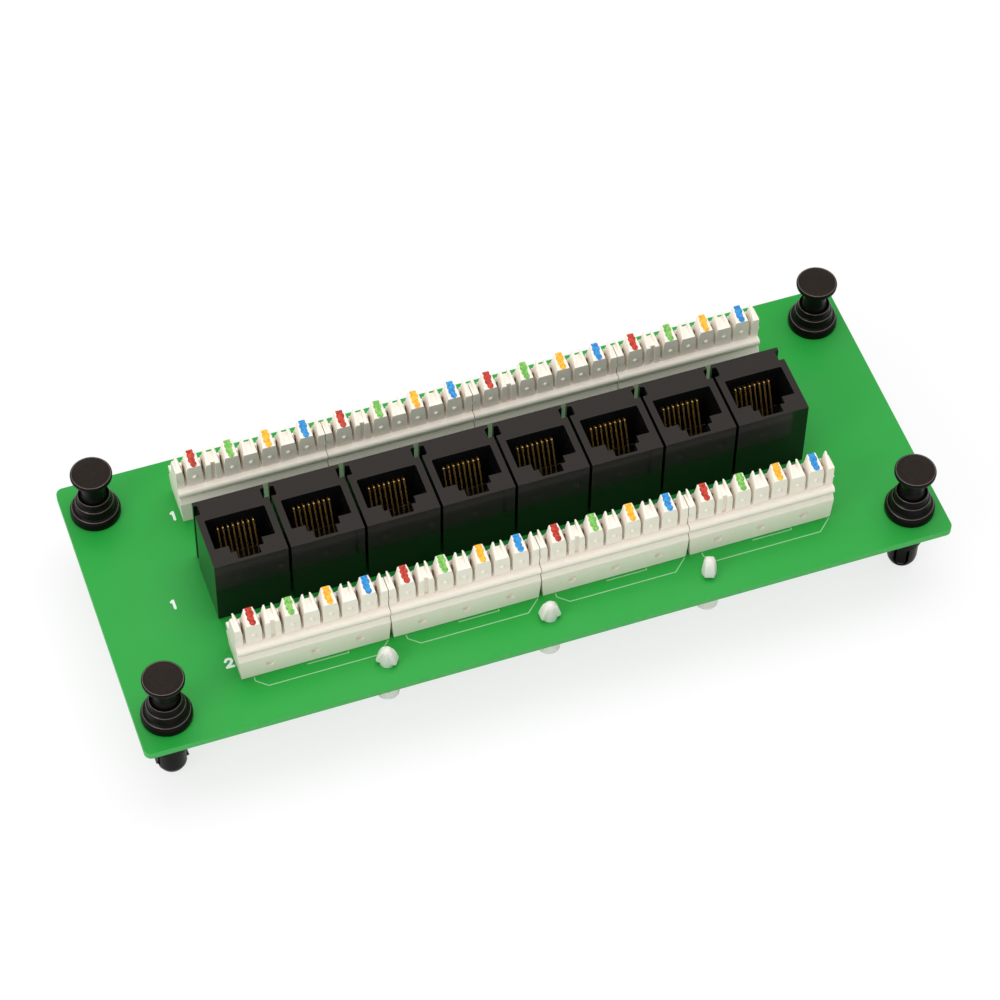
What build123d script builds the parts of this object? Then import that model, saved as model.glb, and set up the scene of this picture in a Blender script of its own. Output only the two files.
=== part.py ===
# Eight-port distribution module: a circuit board with a row of eight top-entry sockets,
# two rows of punch-down blocks, three board supports and four push-and-pull latches.
# Millimetres, +Z up, +X along the board. The origin lies under the board's centre,
# on the surface that the four latch tips stand on. The pieces are drawn about their own
# centres with z = 0 on the board's top surface, and then set in their places.
import math
import os

from build123d import *

# Circuit board
board_length = 165.1
board_width = 66.0
board_thickness = 1.6
board_corner_radius = 1.5

# Latches at the corners: where they stand and how far they reach below the board
latch_inset_x = 6.35
latch_inset_y = 7.6
rear_right_turn = 40.0
front_right_turn = 60.0
standoff_height = 8.0
barrel_length = 7.4

# Latch body
flange_radius = 5.0
flange_height = 1.4
step_height = 2.0
hub_radius = 3.9
hub_foot_radius = 4.3
hub_height = 3.9
collar_radius = 3.5
collar_height = 5.7
body_radius = 3.5
body_hole_clearance = 0.1
barrel_radius = 3.05
barrel_floor = 1.6
barrel_round_height = 2.6
barrel_nose_radius = 2.3
barrel_nose_height = 0.7
barrel_tip_flat = 1.2
snap_reach = 0.45
snap_height = 1.6
snap_angle = 50.0
tongue_width = 2.0
tongue_length = 3.6
tongue_gap = 0.5
tongue_root = 0.8
tongue_bulge = 0.25

# Latch pin, drawn pulled up, and how far it is pushed down to lock
pin_travel = 4.7
pin_stop_gap = 0.2
pin_head_radius = 4.15
pin_head_thickness = 1.1
pin_flare_height = 0.6
pin_neck_radius = 2.75
pin_neck_clearance = 0.08
pin_neck_end = 0.9
pin_shank_radius = 1.7
pin_shank_clearance = 0.05
pin_point = 0.8
pin_end_clearance = 0.3

# Board supports in front of the front row
support_pitch = 33.0
support_inset = 5.8
support_turns = (-32.0, 0.0, 70.0)
support_tip_radius = 1.5
support_tip_height = 4.2
support_dome_height = 1.3
support_dome_radius = 0.9
support_hole_clearance = 0.05
support_column_radius = 2.3
support_flange_radius = 2.9
support_flange_thickness = 1.0
barb_reach = 2.05
barb_bottom = 1.5
barb_height = 1.4
barb_edge = 0.5
barb_thickness = 1.5

# Sockets: eight in a row, entered from above
socket_count = 8
socket_pitch = 15.24
socket_width = 14.7
socket_front = -7.4
socket_rear = 8.8
socket_height = 16.8
side_notch_front = 5.6
side_notch_rear = 7.9
side_notch_depth = 1.1
rear_flange_inset = 0.25
plug_width = 11.95
plug_front = -3.2
plug_rear = 3.9
plug_depth = 12.2
latch_way_width = 6.5
latch_way_front = -4.9
tab_way_width = 4.5
tab_way_front = -6.7

# Socket contacts: bent wires that rise behind the plug space and slope down into it
wire_count = 8
wire_pitch = 1.016
wire_width = 0.36
wire_thickness = 0.3
wire_top_below_rim = 3.3
wire_tip_rise = 1.8
wire_slope = 26.0
shaft_margin = 0.35
shaft_wall = 0.4
window_height = 1.5

# Punch-down blocks: four in each row, each with eight slots between nine teeth
block_count = 4
block_joint_gap = 0.14
front_row_inset = 14.85
rear_row_inset = 11.55
slot_count = 8
slot_pitch = 3.81
base_depth = 8.3
base_face_height = 5.4
base_shoulder_depth = 6.9
base_shoulder_height = 6.5
base_neck_depth = 6.0
base_height = 7.0
base_end_draft = 0.35
rail_depth = 8.1
rail_seat_depth = 7.2
rail_height = 1.7
tooth_front = -2.65
tooth_rear = 2.1
crest_front = 0.5
crest_rear = 0.9
tall_face_height = 14.4
tall_crest_height = 15.5
short_face_height = 13.8
short_crest_height = 15.1
slot_width = 0.6
slot_floor_rise = 0.25
slot_throat_height = 12.6
slot_mouth_width = 2.1
prong_notch_width = 1.2
prong_notch_depth = 1.25
groove_width = 0.9
groove_depth = 0.5

# Punch-down contacts: one forked blade under each slot, in one channel along the block
blade_width = 2.3
blade_thickness = 0.5
blade_height = 13.2
blade_fork_depth = 3.2
blade_fork_gap = 0.3
blade_mouth_depth = 0.9
channel_clearance = 0.15

# Places that follow from the board
latch_spacing_x = board_length - 2 * latch_inset_x
latch_spacing_y = board_width - 2 * latch_inset_y
support_y = support_inset - board_width / 2
front_row_y = front_row_inset - board_width / 2
rear_row_y = board_width / 2 - rear_row_inset

# Heights above the surface that the latch tips stand on
board_underside = standoff_height + barrel_length
board_top = board_underside + board_thickness

os.makedirs("parts", exist_ok=True)


def export_copy(part, name, x, y, turn=0.0):
    """Write a copy of a piece under its own name, set at x and y on the board."""
    piece = part.moved(Location((x, y, board_top), (0, 0, turn)))
    piece.label = name
    export_step(piece, f"parts/{name}.step")


def centred_places(count, pitch):
    """Places along a line, evenly spaced about zero."""
    return [(index - (count - 1) / 2) * pitch for index in range(count)]


# Circuit board with a hole for each latch and each support
support_places = centred_places(len(support_turns), support_pitch)

with BuildPart() as circuit_board:
    with BuildSketch(Plane.XY.offset(board_underside)):
        RectangleRounded(board_length, board_width, board_corner_radius)
        with GridLocations(latch_spacing_x, latch_spacing_y, 2, 2):
            Circle(body_radius + body_hole_clearance, mode=Mode.SUBTRACT)
        with Locations(*[(x, support_y) for x in support_places]):
            Circle(support_tip_radius + support_hole_clearance, mode=Mode.SUBTRACT)
    extrude(amount=board_thickness)

circuit_board.part.label = "circuit_board"
export_step(circuit_board.part, "parts/circuit_board.step")


# Socket housing: one moulded block with the plug space, the latch way and the contact shaft
plug_floor = socket_height - plug_depth
wire_top = socket_height - wire_top_below_rim
shaft_width = (wire_count - 1) * wire_pitch + wire_width + 2 * shaft_margin
shaft_front = plug_rear + shaft_wall
wire_front = shaft_front + shaft_margin
wire_back = wire_front + wire_thickness
shaft_rear = wire_back + shaft_margin
shaft_top = wire_top + shaft_margin

with BuildPart() as socket_housing:
    with BuildSketch():
        with Locations((0, socket_front)):
            Rectangle(socket_width, side_notch_front - socket_front,
                      align=(Align.CENTER, Align.MIN))
        with Locations((0, side_notch_front)):
            Rectangle(socket_width - 2 * side_notch_depth, side_notch_rear - side_notch_front,
                      align=(Align.CENTER, Align.MIN))
        with Locations((0, side_notch_rear)):
            Rectangle(socket_width - 2 * rear_flange_inset, socket_rear - side_notch_rear,
                      align=(Align.CENTER, Align.MIN))
    extrude(amount=socket_height)
    with BuildSketch(Plane.XY.offset(plug_floor)):
        with Locations((0, plug_rear)):
            Rectangle(plug_width, plug_rear - plug_front, align=(Align.CENTER, Align.MAX))
            Rectangle(latch_way_width, plug_rear - latch_way_front,
                      align=(Align.CENTER, Align.MAX))
            Rectangle(tab_way_width, plug_rear - tab_way_front,
                      align=(Align.CENTER, Align.MAX))
    extrude(amount=plug_depth, mode=Mode.SUBTRACT)
    with BuildSketch():
        with Locations((0, shaft_front)):
            Rectangle(shaft_width, shaft_rear - shaft_front, align=(Align.CENTER, Align.MIN))
    extrude(amount=shaft_top, mode=Mode.SUBTRACT)
    with BuildSketch(Plane.XY.offset(shaft_top)):
        with Locations((0, plug_rear)):
            Rectangle(shaft_width, shaft_wall, align=(Align.CENTER, Align.MIN))
    extrude(amount=-window_height, mode=Mode.SUBTRACT)

# Socket contacts: bent wires that stand on the board, bend over and slope into the plug space
wire_bend = plug_rear - wire_thickness
wire_tip = plug_floor + wire_tip_rise
wire_run = (wire_top - wire_tip) * math.tan(math.radians(wire_slope))
wire_slant = wire_thickness / math.cos(math.radians(wire_slope))

with BuildPart() as socket_contacts:
    with BuildSketch(*[Plane.YZ.offset(x) for x in centred_places(wire_count, wire_pitch)]):
        with BuildLine():
            Polyline(
                (wire_back, 0),
                (wire_back, wire_top),
                (wire_bend, wire_top),
                (wire_bend - wire_run, wire_tip),
                (wire_bend - wire_run + wire_slant, wire_tip),
                (wire_bend + wire_slant / 2, wire_top - wire_thickness),
                (wire_front, wire_top - wire_thickness),
                (wire_front, 0),
                close=True,
            )
        make_face()
    extrude(amount=wire_width / 2, both=True)

for number, x in enumerate(centred_places(socket_count, socket_pitch), start=1):
    export_copy(socket_housing.part, f"socket_housing_{number}", x, 0)
    export_copy(socket_contacts.part, f"socket_contacts_{number}", x, 0)


# Punch-down block base: the lower half, which stands on the board
block_pitch = slot_count * slot_pitch
block_length = block_pitch - block_joint_gap
slot_places = centred_places(slot_count, slot_pitch)
channel_length = (slot_count - 1) * slot_pitch + blade_width + 2 * channel_clearance
channel_width = blade_thickness + 2 * channel_clearance

with BuildPart() as block_base:
    with BuildSketch(Plane.YZ):
        with BuildLine():
            Polyline(
                (0, 0),
                (base_depth / 2, 0),
                (base_depth / 2, base_face_height),
                (base_shoulder_depth / 2, base_shoulder_height),
                (base_neck_depth / 2, base_shoulder_height),
                (base_neck_depth / 2, base_height),
                (0, base_height),
            )
            mirror(about=Plane.YZ)
        make_face()
    extrude(amount=block_length / 2, both=True)
    with BuildSketch(Plane.XZ):
        with BuildLine():
            Polyline(
                (block_length / 2, base_face_height),
                (block_length / 2, 0),
                (block_length / 2 - base_end_draft, 0),
                close=True,
            )
        make_face()
        mirror(about=Plane.YZ)
    extrude(amount=base_depth, both=True, mode=Mode.SUBTRACT)
    with BuildSketch():
        Rectangle(channel_length, channel_width)
    extrude(amount=base_height, mode=Mode.SUBTRACT)

# Punch-down block cap: a rounded rail and nine teeth with a slot for a wire between each two.
# The teeth rise gently from an upright front face to a crest and fall steeply behind it. They
# are tall and short in turn. A short tooth ends in two prongs beside a notch, and the half
# teeth at the ends make up one more short tooth with the next block's.
rail_top = base_height + rail_height
short_teeth = [2 * slot_pitch * step for step in range(-slot_count // 4, slot_count // 4 + 1)]
tall_teeth = centred_places(slot_count // 2, 2 * slot_pitch)
grooved_tooth = short_teeth[1]
slot_planes = [Plane((x, 0, 0), x_dir=(1, 0, 0), z_dir=(0, -1, 0)) for x in slot_places]


with BuildPart() as block_cap:
    with BuildSketch(Plane.YZ):
        with BuildLine():
            Line((0, base_height), (rail_seat_depth / 2, base_height))
            ThreePointArc(
                (rail_seat_depth / 2, base_height),
                (rail_depth / 2, base_height + rail_height / 2),
                (rail_seat_depth / 2, rail_top),
            )
            Line((rail_seat_depth / 2, rail_top), (0, rail_top))
            mirror(about=Plane.YZ)
        make_face()
    extrude(amount=block_length / 2, both=True)
    for face_height, crest_height, columns in (
        (tall_face_height, tall_crest_height, tall_teeth),
        (short_face_height, short_crest_height, short_teeth),
    ):
        with BuildSketch(*[Plane.YZ.offset(x) for x in columns]):
            with BuildLine():
                Polyline(
                    (tooth_front, base_height + rail_height / 2),
                    (tooth_front, face_height),
                    (crest_front, crest_height),
                    (crest_rear, crest_height),
                    (tooth_rear, base_height + rail_height / 2),
                    close=True,
                )
            make_face()
        extrude(amount=slot_pitch / 2, both=True)
    with BuildSketch():
        Rectangle(block_length, rail_depth)
    extrude(amount=tall_crest_height, mode=Mode.INTERSECT)
    with BuildSketch(*slot_planes):
        with BuildLine():
            Polyline(
                (0, rail_top + slot_floor_rise),
                (slot_width / 2, rail_top + slot_floor_rise),
                (slot_width / 2, slot_throat_height),
                (slot_mouth_width / 2, tall_crest_height),
                (0, tall_crest_height),
            )
            mirror(about=Plane.YZ)
        make_face()
    extrude(amount=rail_depth, both=True, mode=Mode.SUBTRACT)
    with BuildSketch(Plane.XZ):
        with Locations(*[(x, short_crest_height) for x in short_teeth]):
            Rectangle(prong_notch_width, 2 * prong_notch_depth)
    extrude(amount=rail_depth, both=True, mode=Mode.SUBTRACT)
    with BuildSketch(Plane.XZ.offset(-tooth_front)):
        with Locations((grooved_tooth, rail_top + slot_floor_rise)):
            Rectangle(groove_width, slot_throat_height - rail_top,
                      align=(Align.CENTER, Align.MIN))
    extrude(amount=-groove_depth, mode=Mode.SUBTRACT)
    with BuildSketch(Plane.XY.offset(base_height)):
        Rectangle(channel_length, channel_width)
    extrude(amount=blade_height + channel_clearance - base_height, mode=Mode.SUBTRACT)

# Punch-down contacts: forked blades that stand on the board across the slots
with BuildPart() as block_contacts:
    with BuildSketch(*slot_planes):
        with BuildLine():
            Polyline(
                (0, 0),
                (blade_width / 2, 0),
                (blade_width / 2, blade_height),
                (blade_fork_gap / 2, blade_height - blade_mouth_depth),
                (blade_fork_gap / 2, blade_height - blade_fork_depth),
                (0, blade_height - blade_fork_depth),
            )
            mirror(about=Plane.YZ)
        make_face()
    extrude(amount=blade_thickness / 2, both=True)

for row, row_y in (("front", front_row_y), ("rear", rear_row_y)):
    for number, x in enumerate(centred_places(block_count, block_pitch), start=1):
        export_copy(block_base.part, f"block_base_{row}_{number}", x, row_y)
        export_copy(block_cap.part, f"block_cap_{row}_{number}", x, row_y)
        export_copy(block_contacts.part, f"block_contacts_{row}_{number}", x, row_y)


# Latch body: a stepped knob foot above the board, and a barrel with two tongues below it
underside = -board_thickness
shoulder = underside - standoff_height
barrel_end = shoulder - barrel_length
barrel_bore_end = barrel_end + barrel_floor
neck_bore = pin_neck_radius + pin_neck_clearance
shank_bore = pin_shank_radius + pin_shank_clearance
neck_bore_end = pin_neck_end - pin_travel - pin_end_clearance
tongue_top = shoulder - tongue_root
tongue_end = tongue_top - tongue_length

with BuildPart() as latch_body:
    with BuildSketch(Plane.XZ):
        with BuildLine():
            Polyline(
                (barrel_tip_flat, barrel_end),
                (0, barrel_end),
                (0, barrel_bore_end),
                (shank_bore, barrel_bore_end),
                (shank_bore, neck_bore_end),
                (neck_bore, neck_bore_end),
                (neck_bore, collar_height),
                (collar_radius, collar_height),
                (hub_radius, hub_height),
                (hub_foot_radius, step_height),
                (flange_radius, flange_height),
                (flange_radius, 0),
                (body_radius, 0),
                (body_radius, shoulder),
                (barrel_radius, shoulder),
                (barrel_radius, barrel_end + barrel_round_height),
                (barrel_nose_radius, barrel_end + barrel_nose_height),
                close=True,
            )
        make_face()
    revolve(axis=Axis.Z)
    for turn in (90 - snap_angle / 2, 270 - snap_angle / 2):
        radial = Vector(1, 0, 0).rotate(Axis.Z, turn)
        across = Vector(0, -1, 0).rotate(Axis.Z, turn)
        with BuildSketch(Plane((0, 0, 0), x_dir=radial, z_dir=across)):
            with BuildLine():
                Polyline(
                    (body_radius - snap_reach, underside),
                    (body_radius + snap_reach, underside),
                    (body_radius - snap_reach, underside - 2 * snap_height),
                    close=True,
                )
            make_face()
        revolve(axis=Axis.Z, revolution_arc=snap_angle)
    with BuildSketch(Plane.YZ):
        for half_width, mode in (
            (tongue_width / 2 + tongue_gap, Mode.ADD),
            (tongue_width / 2, Mode.SUBTRACT),
        ):
            with BuildLine():
                Polyline(
                    (0, tongue_top),
                    (half_width, tongue_top),
                    (half_width, tongue_end),
                    (half_width / 2, tongue_end - half_width),
                    (0, tongue_end - half_width),
                )
                mirror(about=Plane.YZ)
            make_face(mode=mode)
    extrude(amount=flange_radius, both=True, mode=Mode.SUBTRACT)
    with BuildSketch(Plane.XZ):
        with BuildLine():
            Polyline(
                (barrel_radius - tongue_bulge, tongue_end + tongue_length / 2),
                (barrel_radius + tongue_bulge, tongue_end),
                (barrel_radius - tongue_bulge, tongue_end),
                close=True,
            )
        make_face()
        mirror(about=Plane.YZ)
    extrude(amount=tongue_width / 2, both=True)

# Latch pin: a dished head on a neck that fills the collar, and a shank that ends in the barrel
head_under = collar_height + pin_stop_gap + pin_travel + pin_flare_height
pin_head_top = head_under + pin_head_thickness
pin_tip = barrel_bore_end + pin_end_clearance + pin_travel

with BuildPart() as latch_pin:
    with BuildSketch(Plane.XZ):
        with BuildLine():
            Polyline(
                (0, pin_head_top),
                (pin_head_radius, pin_head_top),
                (pin_head_radius, head_under),
                (pin_neck_radius, head_under - pin_flare_height),
                (pin_neck_radius, pin_neck_end),
                (pin_shank_radius, pin_neck_end),
                (pin_shank_radius, pin_tip + pin_point),
                (pin_shank_radius - pin_point, pin_tip),
                (0, pin_tip),
                close=True,
            )
        make_face()
    revolve(axis=Axis.Z)

latch_places = {
    "rear_left": (-latch_spacing_x / 2, latch_spacing_y / 2, 0),
    "rear_right": (latch_spacing_x / 2, latch_spacing_y / 2, rear_right_turn),
    "front_left": (-latch_spacing_x / 2, -latch_spacing_y / 2, 0),
    "front_right": (latch_spacing_x / 2, -latch_spacing_y / 2, front_right_turn),
}
for corner, (x, y, turn) in latch_places.items():
    export_copy(latch_body.part, f"latch_body_{corner}", x, y, turn)
    export_copy(latch_pin.part, f"latch_pin_{corner}", x, y, turn)


# Board support: a barbed tip through the board, a flange under it and a column below
with BuildPart() as board_support:
    with BuildSketch(Plane.XZ):
        with BuildLine():
            Polyline(
                (support_dome_radius, support_tip_height),
                (0, support_tip_height),
                (0, shoulder),
                (support_column_radius, shoulder),
                (support_column_radius, underside - support_flange_thickness),
                (support_flange_radius, underside - support_flange_thickness),
                (support_flange_radius, underside),
                (support_tip_radius, underside),
                (support_tip_radius, support_tip_height - support_dome_height),
                close=True,
            )
        make_face()
    revolve(axis=Axis.Z)
    with BuildSketch(Plane.XZ):
        with BuildLine():
            Polyline(
                (0, barb_bottom),
                (barb_reach, barb_bottom),
                (barb_reach, barb_bottom + barb_edge),
                (support_tip_radius - barb_edge, barb_bottom + barb_height),
                (0, barb_bottom + barb_height),
            )
            mirror(about=Plane.YZ)
        make_face()
    extrude(amount=barb_thickness / 2, both=True)

for number, (x, turn) in enumerate(zip(support_places, support_turns), start=1):
    export_copy(board_support.part, f"board_support_{number}", x, support_y, turn)
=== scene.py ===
# Ethernet socket module: the finish of its pieces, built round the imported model.
# Sizes are in metres, but the settings' defaults, profile points, grains and patches
# are written in millimetres. A piece is drawn about its own centre and copied to its
# places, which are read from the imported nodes.
import math

import bpy
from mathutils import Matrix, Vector


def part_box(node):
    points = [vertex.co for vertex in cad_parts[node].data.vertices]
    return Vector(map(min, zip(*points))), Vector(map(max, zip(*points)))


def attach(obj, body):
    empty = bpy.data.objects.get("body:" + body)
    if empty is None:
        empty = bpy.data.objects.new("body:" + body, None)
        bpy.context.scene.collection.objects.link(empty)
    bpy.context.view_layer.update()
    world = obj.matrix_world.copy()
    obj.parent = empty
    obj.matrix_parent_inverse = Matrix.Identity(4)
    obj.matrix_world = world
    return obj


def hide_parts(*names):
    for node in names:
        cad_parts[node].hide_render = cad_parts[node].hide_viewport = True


bl_info = {
    "name": "Ethernet socket module",
    "version": (1, 0, 0),
    "blender": (4, 5, 0),
    "location": "View3D > Sidebar > Socket module",
    "description": "Builds the finished pieces of a socket module round its packed model",
    "category": "Add Mesh",
}

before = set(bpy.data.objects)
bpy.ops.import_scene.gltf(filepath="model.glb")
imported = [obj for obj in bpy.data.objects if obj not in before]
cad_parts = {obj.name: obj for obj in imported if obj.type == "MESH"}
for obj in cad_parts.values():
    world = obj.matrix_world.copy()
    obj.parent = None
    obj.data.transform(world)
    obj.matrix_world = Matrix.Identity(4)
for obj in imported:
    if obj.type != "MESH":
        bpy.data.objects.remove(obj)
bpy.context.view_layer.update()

MM = 0.001
TINY = 1e-7
HOME_BODY = "module"
CORNERS = ("rear_left", "rear_right", "front_left", "front_right")
ROWS = ("front", "rear")
SOCKET_NUMBERS = range(1, 9)
BLOCK_NUMBERS = range(1, 5)
SUPPORT_NUMBERS = range(1, 4)
PIN_COUNT = 8

BOARD_LOW, BOARD_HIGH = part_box("circuit_board")
BOARD_TOP = BOARD_HIGH.z
BOARD_UNDERSIDE = BOARD_LOW.z


def paint(red, green, blue):
    """A colour as it looks on a screen, from 0 to 255, made linear for a shader."""
    shares = (value / 255 for value in (red, green, blue))
    return tuple(((s + 0.055) / 1.055) ** 2.4 if s > 0.04045 else s / 12.92 for s in shares)


def shaded(colour, share):
    """A colour made darker or lighter by one factor."""
    return tuple(channel * share for channel in colour)


def middle(node):
    """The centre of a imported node, seen from above."""
    low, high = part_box(node)
    return (low.x + high.x) / 2, (low.y + high.y) / 2


def numbered_nodes(kind, numbers):
    """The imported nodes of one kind, each with its centre."""
    for number in numbers:
        node = f"{kind}_{number}"
        yield node, *middle(node)


def block_nodes(kind):
    """The same for a kind of piece that each block has."""
    for row in ROWS:
        yield from numbered_nodes(f"block_{kind}_{row}", BLOCK_NUMBERS)


def tone(name, description, default):
    """A colour among the settings."""
    return bpy.props.FloatVectorProperty(
        name=name, description=description, default=default,
        subtype="COLOR", size=3, min=0.0, max=1.0,
    )


def distance(name, description, millimetres):
    """A length among the settings."""
    return bpy.props.FloatProperty(
        name=name, description=description, default=millimetres * MM,
        unit="LENGTH", min=0.0, precision=5,
    )


class BoardLook(bpy.types.PropertyGroup):
    mask_colour: tone("Solder mask", "Colour of the board's green coat", paint(10, 156, 48))
    # The coat's paler clouds are a painted sheen
    painted_mask_sheen: tone("Painted mask sheen", "Colour of the coat's paler clouds", paint(52, 160, 70))
    laminate_colour: tone("Laminate", "Colour of the board's sawn edge", paint(70, 184, 88))
    numeral_colour: tone("Numerals", "Colour of the printed numerals", paint(236, 246, 238))
    line_colour: tone("Lines", "Colour of the thin printed outlines", paint(152, 208, 152))
    print_thickness: distance("Print thickness", "Height of the printed ink", 0.03)
    line_width: distance("Line width", "Width of the printed lines", 0.22)
    numeral_height: distance("Numeral height", "Height of the printed numerals", 1.85)
    numeral_stroke: distance("Numeral stroke", "Width of a numeral's stroke", 0.55)


class BlockShape(bpy.types.PropertyGroup):
    plastic_colour: tone("Plastic", "Colour of the moulded blocks", paint(248, 240, 227))
    blade_colour: tone("Blade", "Colour of the forked blades in the slots", paint(150, 118, 84))
    red: tone("Red mark", "Colour of the first pair's mark", paint(208, 54, 22))
    green: tone("Green mark", "Colour of the second pair's mark", paint(92, 172, 62))
    orange: tone("Orange mark", "Colour of the third pair's mark", paint(248, 160, 14))
    blue: tone("Blue mark", "Colour of the fourth pair's mark", paint(34, 158, 216))
    slot_pitch: distance("Slot pitch", "Distance between two wire slots", 3.81)
    slot_width: distance("Slot width", "Width of a wire slot", 0.6)
    slot_throat: distance("Slot throat", "Height where a slot starts to widen", 12.2)
    crest_width: distance("Crest width", "Width of a tooth at its crest", 1.75)
    tooth_front: distance("Tooth front", "Depth of a tooth before the middle", 2.65)
    tooth_rear: distance("Tooth rear", "Depth of a tooth behind the middle", 2.1)
    crest_front: distance("Crest front", "Place where the roof ends", 0.5)
    crest_rear: distance("Crest rear", "Place where the back starts to fall", 0.9)
    tall_face: distance("Tall face", "Height of a tall tooth's face", 14.4)
    tall_crest: distance("Tall crest", "Height of the tall teeth", 15.5)
    short_face: distance("Short face", "Height of a short tooth's face", 13.8)
    short_crest: distance("Short crest", "Height of the short teeth", 15.1)
    notch_width: distance("Notch width", "Gap between a short tooth's prongs", 1.2)
    notch_depth: distance("Notch depth", "Depth of that gap", 1.25)
    rail_height: distance("Rail height", "Height of the rounded rail", 1.7)
    rail_edge: distance("Rail edge", "Rounding of the rail's long edges", 0.75)
    bump_size: distance("Bump size", "Diameter of the bump on a tooth's face", 0.9)
    bump_height: distance("Bump height", "Height of the bumps' middles", 11.3)
    base_face: distance("Base face", "Height of the base's upright face", 5.4)
    base_shoulder: distance("Base shoulder", "Height of the base's slope", 1.1)
    base_height: distance("Base height", "Height of the whole base", 7.0)
    ejector_radius: distance("Ejector radius", "Radius of the round marks", 0.9)
    ejector_pitch: distance("Ejector pitch", "Distance between the round marks", 9.0)
    edge: distance("Edge", "Rounding of the moulded edges", 0.12)


class SocketShape(bpy.types.PropertyGroup):
    top_colour: tone("Grained top", "Colour of the grained top", paint(38, 32, 28))
    side_colour: tone("Polished side", "Colour of the smooth sides", paint(20, 19, 19))
    # The rim edges' paler colour is a painted highlight
    edge_highlight_colour: tone("Rim edge", "Colour of the rubbed rim edges", paint(92, 86, 80))
    contact_colour: tone("Gold", "Colour of the contact wires", paint(255, 206, 112))
    plug_width: distance("Plug width", "Width of the plug space", 11.95)
    plug_depth: distance("Plug depth", "Depth of the plug space", 12.2)
    latch_width: distance("Latch way", "Width of the way for the plug's latch", 6.5)
    tab_width: distance("Tab way", "Width of the way for the latch's tab", 4.5)
    wire_edge: distance("Wire edge", "Rounding of the gold wires", 0.1)
    edge: distance("Edge", "Rounding of the moulded edges", 0.13)


class LatchShape(bpy.types.PropertyGroup):
    colour: tone("Nylon", "Colour of the black nylon", paint(13, 11, 10))
    # The heads' brown-grey top colour is a painted sheen
    top_sheen_colour: tone("Painted top sheen", "Colour of the rubbed heads", paint(38, 29, 24))
    # The paler colour of these edges is a painted highlight
    edge_highlight_colour: tone("Rim edge", "Colour of the rubbed edges", paint(92, 80, 72))
    tongue_width: distance("Tongue width", "Width of a snap tongue", 2.0)
    tongue_gap: distance("Tongue gap", "Gap round a snap tongue", 0.5)
    edge: distance("Edge", "Rounding of the turned edges", 0.06)


class SupportShape(bpy.types.PropertyGroup):
    colour: tone("Natural nylon", "Colour of the supports", paint(226, 229, 220))
    barb_thickness: distance("Barb thickness", "Thickness of the barbs", 2.2)
    edge: distance("Edge", "Rounding of the edges", 0.1)


class StageLook(bpy.types.PropertyGroup):
    camera_place: bpy.props.FloatVectorProperty(
        name="Camera", description="Place of the camera", subtype="XYZ",
        default=(-0.14543, -0.39605, 0.57899), precision=5)
    camera_turn: bpy.props.FloatVectorProperty(
        name="Camera turn", description="Turn of the camera", subtype="EULER",
        default=(math.radians(37.043), math.radians(-0.647), math.radians(-19.213)))
    lens: bpy.props.FloatProperty(
        name="Lens", description="Focal length in millimetres", default=128.12)
    sky: bpy.props.FloatProperty(
        name="Sky", description="Strength of the light from all round", default=0.66)
    overhead_power: bpy.props.FloatProperty(
        name="Overhead lamp", description="Power of the lamp above in watts", default=2.9)
    left_power: bpy.props.FloatProperty(
        name="Left lamp", description="Power of the lamp at the left in watts", default=1.8)
    floor_glow: bpy.props.FloatProperty(
        name="Floor glow", description="Share of plain white in the floor", default=0.75)
    floor_colour: tone("Floor", "Colour of the floor", (0.95, 0.95, 0.95))


def settings(name):
    return getattr(bpy.context.scene, name)


# Shaping by hand

def deselect_all():
    bpy.ops.object.select_all(action="DESELECT")


def only(piece):
    deselect_all()
    piece.select_set(True)
    bpy.context.view_layer.objects.active = piece


def settle(piece):
    """Move a piece's place and turn into its mesh."""
    only(piece)
    bpy.ops.object.transform_apply(location=True, rotation=True, scale=True)
    return piece


def named(name):
    piece = bpy.context.object
    piece.name = name
    piece.data.name = name
    return piece


def added(name, primitive, **values):
    """A new primitive with its place and turn in its mesh."""
    deselect_all()
    primitive(**values)
    return settle(named(name))


def block(name, low, high):
    """A box between two corners, whichever of them is the lower one."""
    centre = [(a + b) / 2 for a, b in zip(low, high)]
    size = [abs(b - a) for a, b in zip(low, high)]
    return added(name, bpy.ops.mesh.primitive_cube_add, size=1, location=centre, scale=size)


def rod(name, radius, length, place, turn=(0, 0, 0), sides=32):
    """A round rod about its centre."""
    return added(name, bpy.ops.mesh.primitive_cylinder_add, vertices=sides, radius=radius,
                 depth=length, location=place, rotation=turn)


def enter():
    bpy.ops.object.mode_set(mode="EDIT")


def leave():
    bpy.ops.object.mode_set(mode="OBJECT")


def pick(piece, test, kind="FACE"):
    """Go into edit mode with the faces or edges selected that pass a test."""
    only(piece)
    enter()
    bpy.ops.mesh.select_mode(type=kind)
    bpy.ops.mesh.select_all(action="DESELECT")
    leave()
    for element in piece.data.polygons if kind == "FACE" else piece.data.edges:
        element.select = test(element)
    enter()


def grow_up(piece, sections):
    """Draw a box's top upwards through (height, width, front, rear) sections."""
    corners = [vertex.co for vertex in piece.data.vertices]
    height = max(corner.z for corner in corners)
    width = max(corner.x for corner in corners) * 2
    front = min(corner.y for corner in corners)
    rear = max(corner.y for corner in corners)
    pick(piece, lambda face: face.normal.z > 0.9 and face.center.z > height - TINY)
    for new_height, new_width, new_front, new_rear in sections:
        centre = (new_front + new_rear) / 2
        bpy.ops.mesh.extrude_region_move(TRANSFORM_OT_translate={
            "value": (0, centre - (front + rear) / 2, new_height - height)})
        bpy.ops.transform.resize(
            value=(new_width / width, (new_rear - new_front) / (rear - front), 1),
            center_override=(0, centre, new_height))
        height, width, front, rear = new_height, new_width, new_front, new_rear
    leave()
    return piece


def raised(height, points):
    """A profile's (radius, height) points in millimetres, set on a height."""
    return [(radius * MM, height + z * MM) for radius, z in points]


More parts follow.
